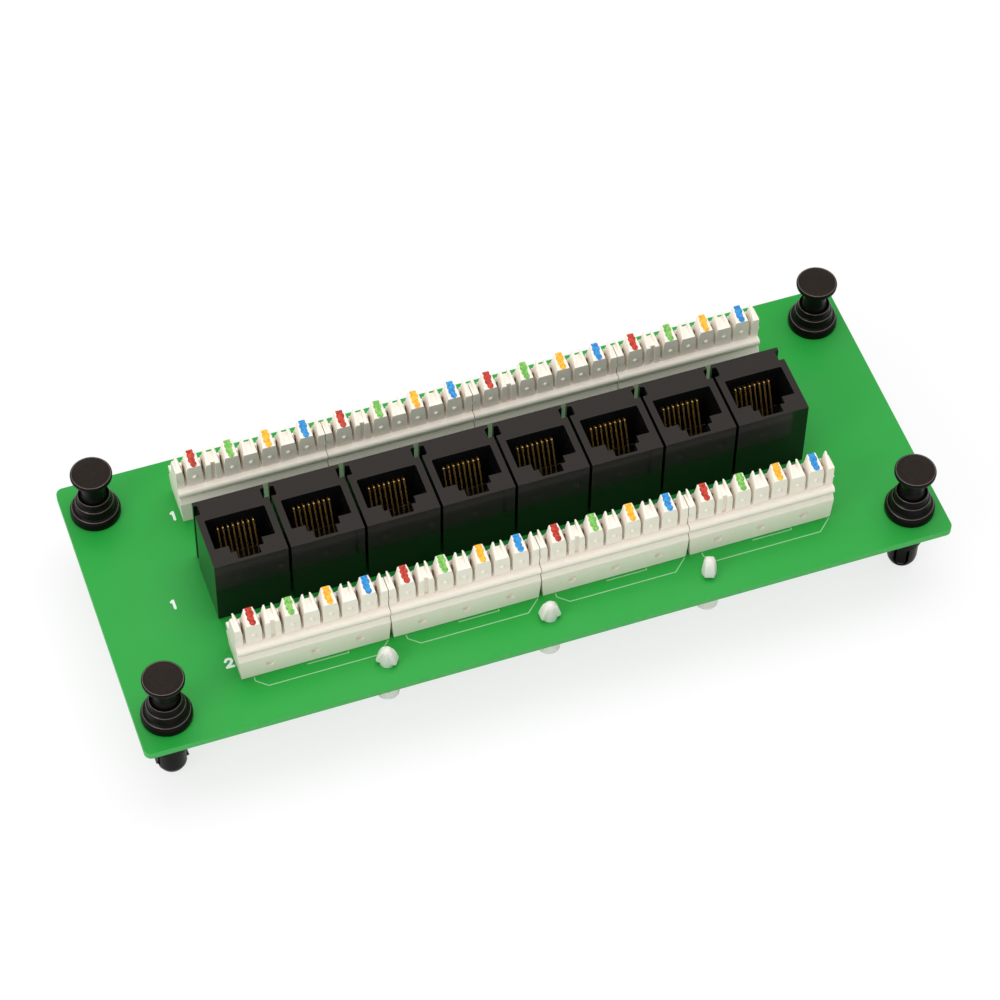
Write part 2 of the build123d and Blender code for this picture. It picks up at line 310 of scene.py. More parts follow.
def turned(name, profile, steps=64):
    """A closed round piece: a profile of (radius, height) points spun about the Z axis."""
    start_radius, start_height = profile[0]
    piece = added(name, bpy.ops.mesh.primitive_plane_add, size=MM,
                  location=(start_radius, 0, start_height))
    enter()
    bpy.ops.mesh.select_mode(type="VERT")
    bpy.ops.mesh.select_all(action="SELECT")
    bpy.ops.mesh.merge(type="CENTER")
    for (radius, height), (new_radius, new_height) in zip(profile, profile[1:]):
        bpy.ops.mesh.extrude_region_move(
            TRANSFORM_OT_translate={"value": (new_radius - radius, 0, new_height - height)})
    bpy.ops.mesh.select_all(action="SELECT")
    bpy.ops.mesh.spin(
        steps=steps, angle=math.tau, center=(0, 0, 0), axis=(0, 0, 1), use_normal_flip=False)
    bpy.ops.mesh.select_all(action="SELECT")
    bpy.ops.mesh.remove_doubles(threshold=1e-6)
    bpy.ops.mesh.normals_make_consistent(inside=False)
    leave()
    return piece


def modified(piece, kind, **values):
    """Add a modifier with these values and apply it."""
    only(piece)
    bpy.ops.object.modifier_add(type=kind)
    modifier = piece.modifiers[-1]
    for name, value in values.items():
        setattr(modifier, name, value)
    bpy.ops.object.modifier_apply(modifier=modifier.name)
    return piece


def combine(piece, other, operation):
    """Add a second piece to the first, cut it out, or keep only what both fill."""
    modified(piece, "BOOLEAN", operation=operation, solver="EXACT", object=other)
    bpy.data.objects.remove(other)
    return piece


def smooth(piece):
    """Shade a piece smooth over its rounded edges, with its large faces left flat."""
    only(piece)
    bpy.ops.object.shade_smooth_by_angle(angle=math.radians(38))
    return modified(piece, "WEIGHTED_NORMAL", keep_sharp=True)


def soften(piece, width, segments=2, angle=25):
    """Round the edges of a piece and shade it smooth between them."""
    modified(piece, "BEVEL", limit_method="ANGLE", angle_limit=math.radians(angle),
             width=width, segments=segments, use_clamp_overlap=True)
    return smooth(piece)


def joined(name, pieces):
    """One piece out of several."""
    deselect_all()
    for piece in pieces:
        piece.select_set(True)
    bpy.context.view_layer.objects.active = pieces[0]
    bpy.ops.object.join()
    return named(name)


def duplicate(piece, name, place, turn=0.0):
    """A copy with its own mesh, turned about its own centre and set at x, y and z."""
    only(piece)
    bpy.ops.object.duplicate()
    copy = named(name)
    copy.location = place
    copy.rotation_euler.z = turn
    return settle(copy)


def dress(mesh, *materials):
    """Give a mesh these materials in place of those that it has."""
    mesh.materials.clear()
    for material in materials:
        mesh.materials.append(material)
    return mesh


def finish_piece(piece, materials, replaced=(), body=HOME_BODY):
    """Give a piece its materials and the body that it rides on, and hide the nodes it stands for.
    """
    if materials:
        dress(piece.data, *materials)
    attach(piece, body)
    if replaced:
        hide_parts(*replaced)


# Finishes

def with_inputs(node, values):
    """A shader node with values put on its inputs."""
    for name, value in values.items():
        node.inputs[name].default_value = value
    return node


def finish(name, colour, second, roughness, grain, bump=0.0, metallic=0.0, patch=0.6,
           roughness_swing=0.08, specular=0.5, mottle=1.0):
    """A finish with cloudy colour, uneven gloss and a fine grain, by place on the piece.

    Patch and grain are the sizes of the clouds and of the grain in millimetres. The two
    colours meet more sharply as mottle grows.
    """
    material = bpy.data.materials.new(name)
    material.use_nodes = True
    nodes = material.node_tree.nodes
    links = material.node_tree.links
    shader = with_inputs(nodes["Principled BSDF"],
                         {"Metallic": metallic, "Specular IOR Level": specular})
    place = nodes.new("ShaderNodeTexCoord").outputs["Object"]

    clouds = with_inputs(nodes.new("ShaderNodeTexNoise"),
                         {"Scale": 1 / (patch * MM), "Detail": 4})
    links.new(place, clouds.inputs["Vector"])
    tint = nodes.new("ShaderNodeMix")
    tint.data_type = "RGBA"
    with_inputs(tint, {"A": (*colour, 1), "B": (*second, 1)})
    share = with_inputs(nodes.new("ShaderNodeMapRange"),
                        {"From Min": 0.5 - 0.5 / mottle, "From Max": 0.5 + 0.5 / mottle})
    links.new(clouds.outputs["Fac"], share.inputs["Value"])
    links.new(share.outputs["Result"], tint.inputs["Factor"])
    links.new(tint.outputs["Result"], shader.inputs["Base Color"])

    fine = with_inputs(nodes.new("ShaderNodeTexNoise"), {"Scale": 1 / (grain * MM), "Detail": 3})
    links.new(place, fine.inputs["Vector"])
    gloss = with_inputs(nodes.new("ShaderNodeMapRange"), {
        "To Min": roughness - roughness_swing, "To Max": roughness + roughness_swing})
    links.new(fine.outputs["Fac"], gloss.inputs["Value"])
    links.new(gloss.outputs["Result"], shader.inputs["Roughness"])
    if bump:
        relief = with_inputs(nodes.new("ShaderNodeBump"),
                             {"Strength": bump, "Distance": grain * MM})
        links.new(fine.outputs["Fac"], relief.inputs["Height"])
        links.new(relief.outputs["Normal"], shader.inputs["Normal"])
    return material


def shared_finish(name, *values, **options):
    """A finish that several operators use, made once."""
    return bpy.data.materials.get(name) or finish(name, *values, **options)


class MODULE_OT_circuit_board(bpy.types.Operator):
    """Finish the circuit board: a green coat on its faces and laminate at its edges"""
    bl_idname = "module.circuit_board"
    bl_label = "Circuit board"

    def execute(self, context):
        look = settings("board_look")
        # The coat's paler clouds, 26 mm across, are a painted sheen; the laminate takes the same
        # colour for its fine clouds
        coat = finish("board coat", look.mask_colour, look.painted_mask_sheen,
                      roughness=0.36, grain=0.4, bump=0.03, patch=26, specular=0.2)
        laminate = finish("board laminate", look.laminate_colour, look.painted_mask_sheen,
                          roughness=0.6, grain=0.12, bump=0.2, patch=0.8, specular=0.3)
        for face in dress(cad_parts["circuit_board"].data, coat, laminate).polygons:
            face.material_index = 0 if abs(face.normal.z) > 0.5 else 1
        return {"FINISHED"}


class MODULE_OT_board_print(bpy.types.Operator):
    """Print the outlines before the front blocks and the plain numerals on the board"""
    bl_idname = "module.board_print"
    bl_label = "Board print"

    def stroke(self, points, width):
        """A printed line through points on the board, round at its corners and ends.

        Its bars and dots differ a little in thickness, so that no two faces coincide.
        """
        thickness = settings("board_look").print_thickness
        height = BOARD_TOP + thickness / 2
        pieces = []
        for index, (start, end) in enumerate(zip(points, points[1:])):
            along = Vector(end) - Vector(start)
            pieces.append(added(
                "printed_line", bpy.ops.mesh.primitive_cube_add, size=1,
                location=((start[0] + end[0]) / 2, (start[1] + end[1]) / 2, height),
                rotation=(0, 0, math.atan2(along.y, along.x)),
                scale=(along.length, width, thickness * (1 - 0.08 * (index % 2)))))
        for x, y in points:
            pieces.append(
                rod("printed_dot", width / 2, thickness * 0.84, (x, y, height), sides=16))
        return pieces

    def execute(self, context):
        look = settings("board_look")
        ink = finish("numeral ink", look.numeral_colour, shaded(look.numeral_colour, 0.9),
                     roughness=0.55, grain=0.2, patch=0.4)
        thin_ink = finish("outline ink", look.line_colour, shaded(look.line_colour, 0.8),
                          roughness=0.55, grain=0.2, patch=1.5)
        outline = ((-12.4, -22.6), (-12.4, -23.4), (-10.3, -25.2), (11.6, -25.2), (14.4, -22.6))
        bar = ((-1.8, -22.85), (6.4, -22.85), (6.4, -22.5))
        for number in BLOCK_NUMBERS:
            x, _ = middle(f"block_base_front_{number}")
            lines = []
            for path in (outline, bar):
                points = [(x + px * MM, py * MM) for px, py in path]
                lines += self.stroke(points, look.line_width)
            finish_piece(joined(f"printed_outline_{number}", lines), [thin_ink])
        # A numeral's points are shares of its height
        one = ((-0.2, 0.36), (0.0, 0.5), (0.0, -0.5))
        two = ((-0.34, 0.24), (-0.2, 0.45), (0.06, 0.5), (0.28, 0.4), (0.33, 0.18), (0.2, -0.06),
               (-0.34, -0.5), (0.36, -0.5))
        for name, shape, x, y in (
            ("numeral_rear", one, -62.0, 19.35),
            ("numeral_sockets", one, -67.85, -1.25),
            ("numeral_front", two, -61.7, -17.8),
        ):
            size = look.numeral_height
            points = [(x * MM + px * size, y * MM + py * size) for px, py in shape]
            finish_piece(joined(name, self.stroke(points, look.numeral_stroke)), [ink])
        return {"FINISHED"}


class MODULE_OT_solder_joints(bpy.types.Operator):
    """Set a solder joint on the board's underside for each pin of the sockets and blocks"""
    bl_idname = "module.solder_joints"
    bl_label = "Solder joints"

    def execute(self, context):
        solder = finish("solder", paint(190, 190, 186), paint(160, 160, 158), roughness=0.28,
                        grain=0.3, bump=0.1, metallic=1.0, patch=0.7)
        joint = turned("solder_joint", raised(BOARD_UNDERSIDE, (
            (0, -1.5), (0.26, -1.45), (0.28, -0.8), (0.5, -0.3), (0.85, -0.05), (0.85, 0),
            (0, 0))), steps=12)
        soften(joint, 0.03 * MM, segments=1, angle=80)
        socket_pitch = 1.27 * MM
        socket_line = 4.8 * MM
        block_pitch = settings("block_shape").slot_pitch
        steps = [pin - (PIN_COUNT - 1) / 2 for pin in range(PIN_COUNT)]
        places = {"solder_sockets": [], "solder_front_row": [], "solder_rear_row": []}
        for _, x, _ in numbered_nodes("socket_contacts", SOCKET_NUMBERS):
            for pin, step in enumerate(steps):
                y = socket_line + (socket_pitch if pin % 2 else -socket_pitch)
                places["solder_sockets"].append((x + step * socket_pitch, y))
        for node, x, y in block_nodes("contacts"):
            row = "solder_front_row" if "front" in node else "solder_rear_row"
            places[row] += [(x + step * block_pitch, y) for step in steps]
        for name, spots in places.items():
            copies = [duplicate(joint, "solder_copy", (x, y, 0)) for x, y in spots]
            finish_piece(joined(name, copies), [solder])
        bpy.data.objects.remove(joint)
        return {"FINISHED"}


class MODULE_OT_socket_housings(bpy.types.Operator):
    """Mould the eight socket housings with their plug spaces, ways and side notches"""
    bl_idname = "module.socket_housings"
    bl_label = "Socket housings"

    def execute(self, context):
        shape = settings("socket_shape")
        low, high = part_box("socket_housing_1")
        half = (high.x - low.x) / 2
        rim = high.z
        body = block("socket_body", (-half, low.y, low.z), (half, high.y, rim))
        floor = rim - shape.plug_depth
        above = rim + MM
        below = low.z - MM
        plug_rear = 3.9 * MM
        cuts = []
        for width, front in ((shape.plug_width, -3.2), (shape.latch_width, -4.9),
                             (shape.tab_width, -6.7)):
            cuts.append(((-width / 2, front * MM, floor), (width / 2, plug_rear, above)))
        side_notch = (1.1, 5.6, 7.9)
        rear_flange = (0.25, 7.8, 9.8)
        for side in (-1, 1):
            outer = side * (half + MM)
            for depth, front, rear in (side_notch, rear_flange):
                inner = side * (half - depth * MM)
                cuts.append(((inner, front * MM, below), (outer, rear * MM, above)))
        shaft_half = 4.1 * MM
        shaft_top = rim - 2.95 * MM
        window_foot = rim - 4.45 * MM
        cuts.append(((-shaft_half, 4.3 * MM, below), (shaft_half, 5.3 * MM, shaft_top)))
        cuts.append(((-shaft_half, 3.8 * MM, window_foot), (shaft_half, 4.4 * MM, shaft_top)))
        for corner_low, corner_high in cuts:
            combine(body, block("cut", corner_low, corner_high), "DIFFERENCE")
        soften(body, shape.edge)
        polished = finish("socket polished side", shape.side_colour, shape.side_colour,
                          roughness=0.14, grain=0.5, patch=3, roughness_swing=0.03, specular=0.4)
        grained = finish("socket grained top", shape.top_colour,
                         shaded(shape.top_colour, 0.75), roughness=0.5, grain=0.14,
                         bump=0.4, patch=0.3, specular=0.17)
        # The rounded top edges of the rim get a paler colour, a painted highlight
        painted_highlight = finish("socket rim edge", shape.edge_highlight_colour, shaded(shape.edge_highlight_colour, 0.4),
                        roughness=0.35, grain=0.2, bump=0.2, patch=0.7)
        for face in dress(body.data, polished, grained, painted_highlight).polygons:
            if face.center.z > rim - 0.02 * MM:
                face.material_index = 1
            elif face.normal.z > 0.5 and face.center.z > rim - shape.edge:
                face.material_index = 2
        for node, x, _ in numbered_nodes("socket_housing", SOCKET_NUMBERS):
            finish_piece(duplicate(body, f"moulded_{node}", (x, 0, 0)), None,
                         [node])
        bpy.data.objects.remove(body)
        return {"FINISHED"}


class MODULE_OT_contacts(bpy.types.Operator):
    """Round the sockets' gold wires and finish the bronze blades of the blocks"""
    bl_idname = "module.contacts"
    bl_label = "Contacts"

    def rounded_wires(self, node):
        """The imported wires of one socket, merged and with their edges rounded."""
        name = f"rounded_{node}"
        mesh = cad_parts[node].data.copy()
        mesh.name = name
        wires = bpy.data.objects.new(name, mesh)
        bpy.context.scene.collection.objects.link(wires)
        only(wires)
        enter()
        bpy.ops.mesh.select_all(action="SELECT")
        bpy.ops.mesh.remove_doubles(threshold=1e-6)
        bpy.ops.mesh.dissolve_limited(angle_limit=math.radians(1))
        leave()
        return soften(wires, settings("socket_shape").wire_edge, segments=3, angle=15)

    def execute(self, context):
        gold_colour = settings("socket_shape").contact_colour
        blade_colour = settings("block_shape").blade_colour
        gold = finish("contact gold", gold_colour, shaded(gold_colour, 0.8), roughness=0.2,
                      grain=0.2, bump=0.03, metallic=0.85, patch=1.2, roughness_swing=0.06)
        bronze = finish("blade bronze", blade_colour, shaded(blade_colour, 0.6),
                        roughness=0.42, grain=0.15, bump=0.1, metallic=0.9, patch=1)
        for node, _, _ in numbered_nodes("socket_contacts", SOCKET_NUMBERS):
            finish_piece(self.rounded_wires(node), [gold], [node])
        for node, _, _ in block_nodes("contacts"):
            dress(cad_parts[node].data, bronze)
        return {"FINISHED"}


def block_plastic():
    """The blocks' warm white plastic, which their bases and caps share."""
    colour = settings("block_shape").plastic_colour
    return shared_finish("block plastic", colour, shaded(colour, 0.93),
                         roughness=0.4, grain=0.25, bump=0.06, patch=2.2)


def mould_blocks(piece, kind):
    """Put a copy of a base or a cap in each block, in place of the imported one."""
    for node, x, y in block_nodes(kind):
        finish_piece(duplicate(piece, f"moulded_{node}", (x, y, 0)), [block_plastic()],
                     [node])
    bpy.data.objects.remove(piece)


class MODULE_OT_block_bases(bpy.types.Operator):
    """Mould the punch-down blocks' bases with their sloped ledges and round marks"""
    bl_idname = "module.block_bases"
    bl_label = "Block bases"

    def execute(self, context):
        shape = settings("block_shape")
        low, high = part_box("block_base_front_1")
        half = (high.x - low.x) / 2
        depth = high.y - low.y
        foot = low.z
        face_top = foot + shape.base_face
        base = block("base", (-half, -depth / 2, foot), (half, depth / 2, face_top))
        length = 2 * half
        shoulder = face_top + shape.base_shoulder
        ledge = 3.45 * MM
        neck = 2.4 * MM
        grow_up(base, [
            (shoulder, length, -ledge, ledge),
            (shoulder, length, -neck, neck),
            (foot + shape.base_height, length, -neck, neck),
        ])
        draft = 0.35 * MM
        for vertex in base.data.vertices:
            if vertex.co.z < foot + TINY:
                vertex.co.x -= math.copysign(draft, vertex.co.x)
        soften(base, 0.1 * MM, angle=22)
        mark_height = foot + 3 * MM
        mark_length = 1.3 * MM
        for side in (-1, 1):
            for step in (-1, 0, 1):
                place = (step * shape.ejector_pitch, side * depth / 2, mark_height)
                mark = rod("mark", shape.ejector_radius, mark_length, place,
                           (math.radians(90), 0, 0), sides=40)
                combine(base, mark, "DIFFERENCE")
        mould_blocks(smooth(base), "base")
        return {"FINISHED"}


class MODULE_OT_block_caps(bpy.types.Operator):
    """Mould the blocks' caps: a rounded rail and nine teeth with slots between them"""
    bl_idname = "module.block_caps"
    bl_label = "Block caps"

    def tooth(self, name, face_height, crest_height):
        """A tooth about the Z axis: an upright face, a gentle roof and a steep back."""
        shape = settings("block_shape")
        width = shape.slot_pitch - shape.slot_width
        start = shape.base_height + shape.rail_height / 2
        throat = shape.slot_throat
        back_slope = (shape.tooth_rear - shape.crest_rear) / (crest_height - start)

        def rear_at(height):
            return shape.tooth_rear - (height - start) * back_slope

        piece = block(name, (-width / 2, -shape.tooth_front, BOARD_TOP + start),
                      (width / 2, rear_at(throat), BOARD_TOP + throat))
        for vertex in piece.data.vertices:
            if vertex.co.y > 0 and vertex.co.z < BOARD_TOP + start + TINY:
                vertex.co.y = shape.tooth_rear
        rise = crest_height - face_height
        heights = [throat + (face_height - throat) * step / 3 for step in (1, 2, 3)]
        heights += [face_height + rise * step / 5 for step in range(1, 6)]
        sections = []
        for height in heights:
            share = (height - throat) / (crest_height - throat)
            narrowing = (width - shape.crest_width) * share ** 2
            roof = max(0.0, (height - face_height) / rise)
            front = -shape.tooth_front + (shape.tooth_front + shape.crest_front) * roof
            sections.append((BOARD_TOP + height, width - narrowing, front, rear_at(height)))
        grow_up(piece, sections)
        return piece

    def short_tooth(self, name, grooved=False):
        """A short tooth, which ends in two prongs beside a notch."""
        shape = settings("block_shape")
        piece = self.tooth(name, shape.short_face, shape.short_crest)
        crest = BOARD_TOP + shape.short_crest
        notch = block("notch", (-shape.notch_width / 2, -4 * MM, crest - shape.notch_depth),
                      (shape.notch_width / 2, 4 * MM, crest + MM))
        soften(notch, 0.25 * MM, segments=3, angle=60)
        combine(piece, notch, "DIFFERENCE")
        if grooved:
            rail_top = BOARD_TOP + shape.base_height + shape.rail_height
            groove = block("groove", (-0.45 * MM, -4 * MM, rail_top - 0.3 * MM),
                           (0.45 * MM, -shape.tooth_front + 0.5 * MM, crest))
            combine(piece, groove, "DIFFERENCE")
        return piece

    def execute(self, context):
        shape = settings("block_shape")
        low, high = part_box("block_cap_front_1")
        _, centre = middle("block_cap_front_1")
        half = (high.x - low.x) / 2
        rail_foot = low.z
        rail_top = rail_foot + shape.rail_height
        rail = block("rail", (-half, low.y - centre, rail_foot),
                     (half, high.y - centre, rail_top))

        def lengthwise(edge):
            a, b = (rail.data.vertices[i].co for i in edge.vertices)
            return abs(a.x - b.x) > MM

        pick(rail, lengthwise, "EDGE")
        bpy.ops.mesh.bevel(offset=shape.rail_edge, segments=6, profile=0.5)
        leave()
        # The web and the end teeth stop just short of the rail's ends, so that no two
        # end faces coincide
        web_half = half - 0.03 * MM
        web = block("web", (-web_half, 0.1 * MM - shape.tooth_front, rail_foot + 0.2 * MM),
                    (web_half, shape.tooth_rear - 0.2 * MM, rail_top + 0.25 * MM))

        pitch = shape.slot_pitch
        tall = self.tooth("tall", shape.tall_face, shape.tall_crest)
        short = self.short_tooth("short")
        grooved = self.short_tooth("grooved", grooved=True)
        teeth = [duplicate(tall, "tooth", (step * pitch, 0, 0)) for step in (-3, -1, 1, 3)]
        teeth += [duplicate(short, "tooth", (step * pitch, 0, 0)) for step in (0, 2)]
        teeth.append(duplicate(grooved, "tooth", (-2 * pitch, 0, 0)))
        for side in (-1, 1):
            end = duplicate(short, "tooth", (side * 4 * pitch, 0, 0))
            spare = block("spare", (side * (half - 0.015 * MM), -4 * MM, rail_foot),
                          (side * (half + 4 * MM), 4 * MM, rail_foot + 12 * MM))
            teeth.append(combine(end, spare, "DIFFERENCE"))
        teeth = joined("teeth", teeth)
        soften(teeth, shape.edge, angle=26)

        bumps = []
        for step in (-4, -3, -1, 0, 1, 2, 3, 4):
            x = max(-half + 0.05 * MM, min(half - 0.05 * MM, step * pitch))
            bumps.append(added(
                "bump", bpy.ops.mesh.primitive_uv_sphere_add, segments=16, ring_count=10,
                radius=shape.bump_size / 2,
                location=(x, -shape.tooth_front, BOARD_TOP + shape.bump_height),
                scale=(0.1 if abs(step) == 4 else 1, 0.8, 1)))
        mould_blocks(smooth(joined("cap", [rail, web, teeth] + bumps)), "cap")
        for piece in (tall, short, grooved):
            bpy.data.objects.remove(piece)
        return {"FINISHED"}


class MODULE_OT_pair_marks(bpy.types.Operator):
    """Print a coloured mark on the roof of each tall tooth"""
    bl_idname = "module.pair_marks"
    bl_label = "Pair marks"

    def execute(self, context):
        shape = settings("block_shape")
        rise = shape.tall_crest - shape.tall_face
        run = shape.tooth_front + shape.crest_front
        slope = math.atan2(rise, run)

        def on_roof(x, share):
            return (x, -shape.tooth_front + run * share,
                    BOARD_TOP + shape.tall_face + rise * share)

        # Each lobe's share of the way up the roof, radius, sideways shift and thickness
        spots = ((0.19, 0.64, 0.08, 0.12), (0.45, 0.7, -0.08, 0.13), (0.74, 0.8, 0.02, 0.14))
        lobes = []
        for share, radius, shift, thickness in spots:
            lobe = rod("lobe", radius * MM, thickness * MM, on_roof(shift * MM, share),
                       (slope, 0, 0), sides=24)
            lobes.append(soften(lobe, 0.04 * MM, angle=60))
        strip = block("strip", (-0.52 * MM, -1.1 * MM, -0.1 * MM),
                      (0.52 * MM, 1.1 * MM, 0.045 * MM))
        soften(strip, 0.03 * MM, angle=60)
        strip.rotation_euler.x = slope
        strip.location = on_roof(0, 0.5)
        crest = BOARD_TOP + shape.tall_crest
        lobe = block("lobe", (-0.7 * MM, 0.25 * MM, crest - 0.4 * MM),
                     (0.7 * MM, shape.crest_rear + 0.03 * MM, crest + 0.05 * MM))
        lobes += [settle(strip), soften(lobe, 0.12 * MM, angle=60)]
        mark = joined("mark", lobes)
        places = {"red": (-3, paint(152, 26, 10)), "green": (-1, paint(140, 198, 96)),
                  "orange": (1, paint(255, 196, 44)), "blue": (3, paint(24, 116, 196))}
        for colour_name, (step, second) in places.items():
            ink = finish(f"{colour_name} mark", getattr(shape, colour_name), second,
                         roughness=0.42, grain=0.2, bump=0.3, patch=0.55, specular=0.35,
                         mottle=6)
            shift = step * shape.slot_pitch
            marks = [duplicate(mark, "mark_copy", (x + shift, y, 0))
                     for _, x, y in block_nodes("cap")]
            finish_piece(joined(f"{colour_name}_pair_marks", marks), [ink])
        bpy.data.objects.remove(mark)
        return {"FINISHED"}


def latch_nylon():
    """The latches' black nylon, which their bodies and pins share."""
    colour = settings("latch_shape").colour
    return shared_finish("latch nylon", colour, shaded(colour, 1.6), roughness=0.28,
                         grain=0.3, bump=0.05, patch=1.6, specular=0.06)


def painted_edge_highlight():
    """The paler edges of the latches, a painted highlight."""
    colour = settings("latch_shape").edge_highlight_colour
    return shared_finish("latch rim edge", colour, shaded(colour, 0.25),
                         roughness=0.3, grain=0.3, bump=0.1, patch=1.1)


def latch_places():
    """The corner latches' places and turns."""
    turns = {"rear_right": math.radians(40), "front_right": math.radians(60)}
    for corner in CORNERS:
        x, y = middle(f"latch_body_{corner}")
        yield corner, (x, y, 0), turns.get(corner, 0.0)


class MODULE_OT_latch_bodies(bpy.types.Operator):
    """Turn the latch bodies and slit their barrels round the snap tongues"""
    bl_idname = "module.latch_bodies"
    bl_label = "Latch bodies"

    def tongue(self, half, end, top):
        """A bar through the barrel with the outline of its two tongues."""
        piece = block("tongue", (-6 * MM, -half, end), (6 * MM, half, top))
        pick(piece, lambda face: face.normal.z < -0.9)
        bpy.ops.mesh.extrude_region_move(TRANSFORM_OT_translate={"value": (0, 0, -half)})
        bpy.ops.transform.resize(value=(1, 0.5, 1), center_override=(0, 0, end - half))
        leave()
        return piece

    def execute(self, context):
        shape = settings("latch_shape")
        top = BOARD_TOP
        under = BOARD_UNDERSIDE
        shoulder = under - 8 * MM
        profile = raised(top, (
            (2.83, 5.62), (2.95, 5.7), (3.12, 5.7), (3.22, 5.58), (3.42, 4.35), (3.68, 4.1),
            (3.8, 3.98), (4.1, 2.35), (4.52, 2.1), (4.66, 1.96), (4.98, 1.2), (5, 1),
            (5, 0), (3.5, 0)))
        profile += raised(shoulder, ((3.5, 0), (3.05, 0)))
        profile += raised(0, (
            (3.05, 2.6), (2.9, 1.75), (2.5, 0.9), (1.9, 0.3), (1.2, 0), (0, 0), (0, 1.6),
            (1.75, 1.6), (1.75, 12.6), (2.83, 12.6)))
        latch = turned("latch", profile + profile[:1])
        half = shape.tongue_width / 2
        tongue_top = shoulder - 0.8 * MM
        tongue_end = tongue_top - 3.6 * MM
        slit = self.tongue(half + shape.tongue_gap, tongue_end, tongue_top)
        combine(slit, self.tongue(half, tongue_end, tongue_top + MM), "DIFFERENCE")
        combine(latch, slit, "DIFFERENCE")
        lugs = turned("lugs", raised(under, ((3.05, 0), (3.95, 0), (3.05, -3.2), (3.05, 0))))
        sector = block("sector", (-1.48 * MM, -5 * MM, under - 4 * MM), (1.48 * MM, 5 * MM, top))
        combine(latch, combine(lugs, sector, "INTERSECT"), "UNION")
        for side in (-1, 1):
            bulge = block("bulge", (side * 2.7 * MM, -half, tongue_end),
                          (side * 3.3 * MM, half, tongue_end + 1.8 * MM))
            for vertex in bulge.data.vertices:
                if abs(vertex.co.x) > 3 * MM and vertex.co.z > tongue_end + MM:
                    vertex.co.x = side * 2.8 * MM
            combine(latch, bulge, "UNION")
        soften(latch, shape.edge, angle=28)
        # The steps' edges with a painted highlight: between which radii, and which heights above
        # the board
        painted_highlight = ((3.12, 3.24, 5.56, 5.69), (3.66, 3.82, 3.96, 4.12), (4.5, 4.68, 1.94, 2.12))
        for face in dress(latch.data, latch_nylon(), painted_edge_highlight()).polygons:
            radius = math.hypot(face.center.x, face.center.y) / MM
            height = (face.center.z - top) / MM
            if any(a < radius < b and c < height < d for a, b, c, d in painted_highlight):
                face.material_index = 1
        for corner, place, turn in latch_places():
            node = f"latch_body_{corner}"
            copy = duplicate(latch, f"turned_{node}", place, turn)
            finish_piece(copy, None, [node])
        bpy.data.objects.remove(latch)
        return {"FINISHED"}


class MODULE_OT_latch_pins(bpy.types.Operator):
    """Turn the latch pins with their dished heads"""
    bl_idname = "module.latch_pins"
    bl_label = "Latch pins"

    def turned_top(self, corner, place):
        """A dull dark finish with fine rings round the pin's own axis, its brown-grey colour a
        painted sheen.
        """
        colour = settings("latch_shape").top_sheen_colour
        material = finish(f"latch top sheen {corner}", colour, shaded(colour, 0.55),
                          roughness=0.42, grain=0.35, bump=0.25, patch=0.8, specular=0.09)
        nodes = material.node_tree.nodes
        links = material.node_tree.links
        centred = with_inputs(nodes.new("ShaderNodeMapping"),
                              {"Location": (-place[0], -place[1], 0)})
        rings = nodes.new("ShaderNodeTexWave")
        rings.wave_type = "RINGS"
        rings.rings_direction = "Z"
        with_inputs(rings, {"Scale": 260, "Distortion": 2.5, "Detail": 3})
        relief = with_inputs(nodes.new("ShaderNodeBump"),
                             {"Strength": 0.35, "Distance": 0.06 * MM})
        shader = nodes["Principled BSDF"]
        fine_relief = shader.inputs["Normal"].links[0].from_node
        links.new(nodes["Texture Coordinate"].outputs["Object"], centred.inputs["Vector"])
        links.new(centred.outputs["Vector"], rings.inputs["Vector"])
        links.new(rings.outputs["Fac"], relief.inputs["Height"])
        links.new(fine_relief.outputs["Normal"], relief.inputs["Normal"])
        links.new(relief.outputs["Normal"], shader.inputs["Normal"])
        return material

    def execute(self, context):
        shape = settings("latch_shape")
        low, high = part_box("latch_pin_front_left")
        head = high.z
        profile = raised(head, (
            (0, -0.16), (2.6, -0.14), (3.62, -0.1), (3.78, 0), (3.94, 0), (4.1, -0.12),
            (4.15, -0.35), (4.1, -0.95), (3.9, -1.1), (3, -1.5), (2.5, -1.85), (2.3, -2.4),
            (2.3, -5.4), (2.45, -6.2), (2.75, -6.75), (2.75, -11.4), (1.7, -11.4)))
        profile += raised(low.z, ((1.7, 0.8), (0.9, 0), (0, 0)))
        pin = turned("pin", profile)
        soften(pin, shape.edge, angle=35)
        # The second material's place is for the top with its painted sheen, which each pin gets
        # of its own
        dress(pin.data, latch_nylon(), latch_nylon(), painted_edge_highlight())
        dish = head - 0.17 * MM
        rim_inner, rim_outer = 3.72 * MM, 3.94 * MM
        # Inside the rim the top gets its painted sheen, and the rim itself the painted edge
        # highlight
        for face in pin.data.polygons:
            radius = math.hypot(face.center.x, face.center.y)
            if face.center.z > dish and face.normal.z > 0.4:
                face.material_index = 1 if radius < rim_inner else 2 if radius < rim_outer else 0
        for corner, place, turn in latch_places():
            node = f"latch_pin_{corner}"
            copy = duplicate(pin, f"turned_{node}", place, turn)
            copy.data.materials[1] = self.turned_top(corner, place)
            finish_piece(copy, None, [node], body=f"pin_{corner}")
        bpy.data.objects.remove(pin)
        return {"FINISHED"}


